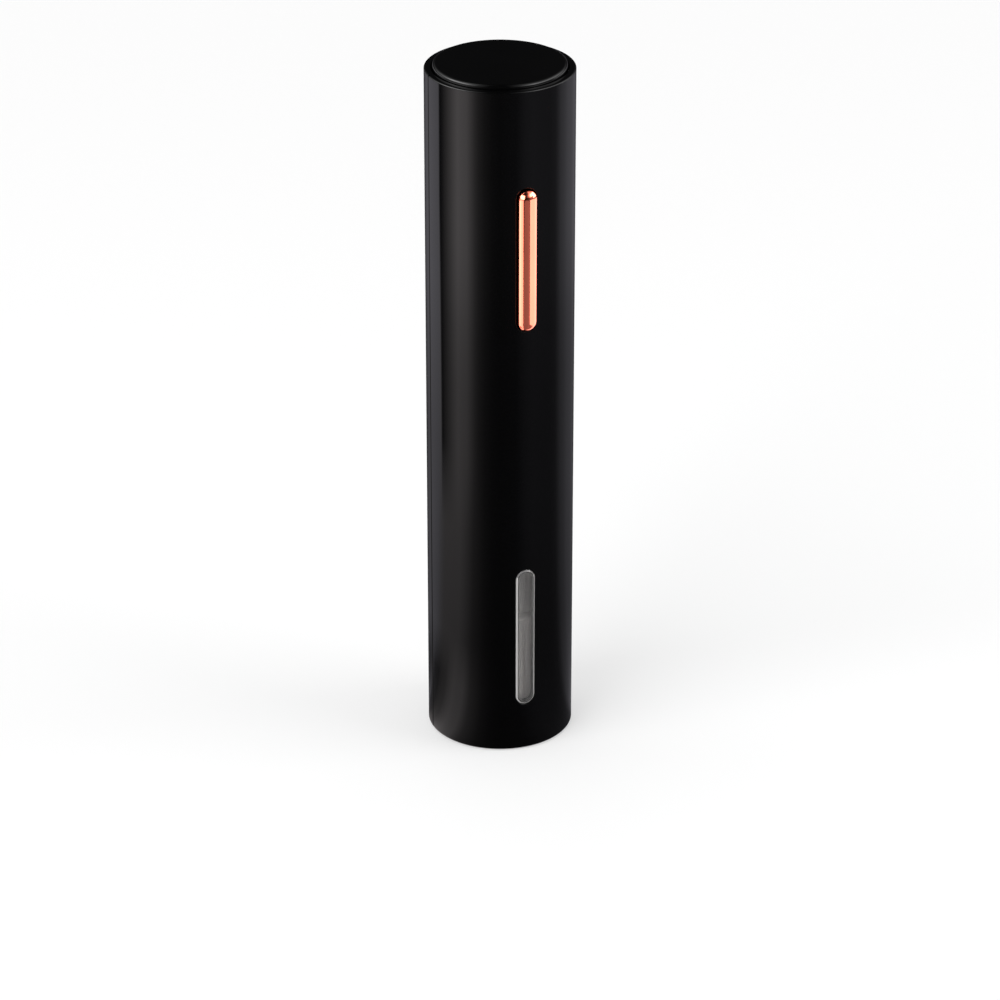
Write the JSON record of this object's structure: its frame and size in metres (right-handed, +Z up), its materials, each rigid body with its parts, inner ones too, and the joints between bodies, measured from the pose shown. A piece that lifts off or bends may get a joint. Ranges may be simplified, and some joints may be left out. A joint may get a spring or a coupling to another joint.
{
  "type": "electric wine opener",
  "caption": "Black cylindrical battery wine opener: a copper rocker button turns a geared worm inside a neck socket seen through a clear window; the top cover lifts off the cells.",
  "frame": {"origin": "centre of the barrel's foot, on the surface that it stands on", "axes": "+Z up the barrel's axis, -Y towards the button and the window"},
  "size_m": [0.048, 0.0504, 0.2335],
  "materials": {
    "black_gloss_abs": "polished black moulding",
    "black_matt_abs": "fine matt black moulding",
    "copper_plate": "bright rose-copper electroplate",
    "clear_acrylic": "clear polished plastic",
    "frosted_sleeve": "pale translucent grey plastic",
    "polished_steel": "polished steel",
    "machine_steel": "machined steel",
    "cast_hub": "cast light metal",
    "acetal_gear": "natural acetal",
    "grey_nylon": "glass-filled nylon",
    "brass": "machined brass",
    "bronze_bush": "sintered bronze",
    "zinc_can": "zinc-plated pressing",
    "bell_plastic": "natural nylon",
    "ferrite": "ferrite magnet",
    "lamination_steel": "stacked sheet steel",
    "enamelled_copper": "enamelled copper wire",
    "carbon": "carbon brush",
    "green_laminate": "green board laminate",
    "switch_plastic": "black switch body",
    "plunger_plastic": "pale switch plunger",
    "red_insulation": "red wire cover",
    "black_insulation": "black wire cover",
    "nickel_strip": "nickel-plated strip",
    "cell_sleeve": "plain dark cell wrap"
  },
  "bodies": {
    "housing": {"front_shell": "black_gloss_abs", "rear_shell": "black_gloss_abs", "window_lens": "clear_acrylic", "bottle_collar": "black_matt_abs", "cork_sleeve": "frosted_sleeve", "sleeve_screws": "machine_steel", "rocker_pin": "machine_steel", "switch_bodies": "switch_plastic", "control_board": "green_laminate", "board_screws": "machine_steel", "board_chips": "switch_plastic", "output_bush": "bronze_bush", "thrust_washer": "polished_steel", "gear_case": "grey_nylon", "motor_plate": "machine_steel", "plate_screws": "machine_steel", "motor_screws": "machine_steel", "motor_can": "zinc_can", "motor_end_bell": "bell_plastic", "motor_bushes": "bronze_bush", "motor_magnets": "ferrite", "motor_brushes": "carbon", "motor_terminals": "brass", "red_lead": "red_insulation", "black_lead": "black_insulation", "battery_tray": "black_matt_abs", "battery_cells": "cell_sleeve", "tray_contacts": "nickel_strip", "tray_springs": "nickel_strip"},
    "battery_lid": {"battery_cover": "black_gloss_abs", "cover_contacts": "nickel_strip", "cover_springs": "nickel_strip"},
    "rocker": {"rocker_button": "copper_plate"},
    "upper_switch_plunger": {"upper_plunger": "plunger_plastic"},
    "lower_switch_plunger": {"lower_plunger": "plunger_plastic"},
    "rotor": {"motor_shaft": "polished_steel", "armature_core": "lamination_steel", "armature_windings": "enamelled_copper", "commutator": "enamelled_copper", "sun_pinion": "brass"},
    "first_stage": {"first_carrier": "machine_steel", "first_pins": "machine_steel"},
    "output": {"output_carrier": "machine_steel", "second_pins": "machine_steel", "worm_hub": "cast_hub", "hub_set_screw": "machine_steel", "worm": "polished_steel"},
    "first_planet_body_1": {"first_planet_1": "acetal_gear"},
    "second_planet_body_1": {"second_planet_1": "machine_steel"},
    "first_planet_body_2": {"first_planet_2": "acetal_gear"},
    "second_planet_body_2": {"second_planet_2": "machine_steel"},
    "first_planet_body_3": {"first_planet_3": "acetal_gear"},
    "second_planet_body_3": {"second_planet_3": "machine_steel"}
  },
  "joints": [
    {"name": "cover_lift", "type": "slide", "parent": "housing", "child": "battery_lid", "axis": [0, 0, 1], "range_m": [0, 0.045]},
    {"name": "rocker_tilt", "type": "hinge", "parent": "housing", "child": "rocker", "pos_m": [0, -0.0198, 0.1754], "axis": [1, 0, 0], "range_deg": [-2, 2], "stiffness_Nm_per_rad": 0.5},
    {"name": "lower_switch_press", "type": "slide", "parent": "housing", "child": "lower_switch_plunger", "axis": [0, 1, 0], "range_m": [-0.0005, 0.0005]},
    {"name": "upper_switch_press", "type": "slide", "parent": "housing", "child": "upper_switch_plunger", "axis": [0, 1, 0], "range_m": [-0.0005, 0.0005]},
    {"name": "motor_spin", "type": "hinge", "parent": "housing", "child": "rotor", "pos_m": [0, 0, 0.14], "axis": [0, 0, 1], "continuous": true},
    {"name": "first_stage_spin", "type": "hinge", "parent": "housing", "child": "first_stage", "pos_m": [0, 0, 0.116], "axis": [0, 0, 1], "continuous": true},
    {"name": "worm_spin", "type": "hinge", "parent": "housing", "child": "output", "pos_m": [0, 0, 0.1], "axis": [0, 0, 1], "continuous": true},
    {"name": "first_planet_spin_1", "type": "hinge", "parent": "first_stage", "child": "first_planet_body_1", "pos_m": [0.0099, 0, 0.12], "axis": [0, 0, 1], "continuous": true},
    {"name": "second_planet_spin_1", "type": "hinge", "parent": "output", "child": "second_planet_body_1", "pos_m": [0.0099, 0, 0.112], "axis": [0, 0, 1], "continuous": true},
    {"name": "first_planet_spin_2", "type": "hinge", "parent": "first_stage", "child": "first_planet_body_2", "pos_m": [-0.00495, 0.00857, 0.12], "axis": [0, 0, 1], "continuous": true},
    {"name": "second_planet_spin_2", "type": "hinge", "parent": "output", "child": "second_planet_body_2", "pos_m": [-0.00495, 0.00857, 0.112], "axis": [0, 0, 1], "continuous": true},
    {"name": "first_planet_spin_3", "type": "hinge", "parent": "first_stage", "child": "first_planet_body_3", "pos_m": [-0.00495, -0.00857, 0.12], "axis": [0, 0, 1], "continuous": true},
    {"name": "second_planet_spin_3", "type": "hinge", "parent": "output", "child": "second_planet_body_3", "pos_m": [-0.00495, -0.00857, 0.112], "axis": [0, 0, 1], "continuous": true}
  ],
  "couplings": [
    {"joint": "lower_switch_press", "follows": "rocker_tilt", "m_per_rad": 0.014},
    {"joint": "upper_switch_press", "follows": "rocker_tilt", "m_per_rad": -0.014},
    {"joint": "first_stage_spin", "follows": "motor_spin", "ratio": 0.16667},
    {"joint": "worm_spin", "follows": "motor_spin", "ratio": 0.027778},
    {"joint": "first_planet_spin_1", "follows": "motor_spin", "ratio": -0.41667},
    {"joint": "second_planet_spin_1", "follows": "motor_spin", "ratio": -0.069444},
    {"joint": "first_planet_spin_2", "follows": "motor_spin", "ratio": -0.41667},
    {"joint": "second_planet_spin_2", "follows": "motor_spin", "ratio": -0.069444},
    {"joint": "first_planet_spin_3", "follows": "motor_spin", "ratio": -0.41667},
    {"joint": "second_planet_spin_3", "follows": "motor_spin", "ratio": -0.069444}
  ]
}
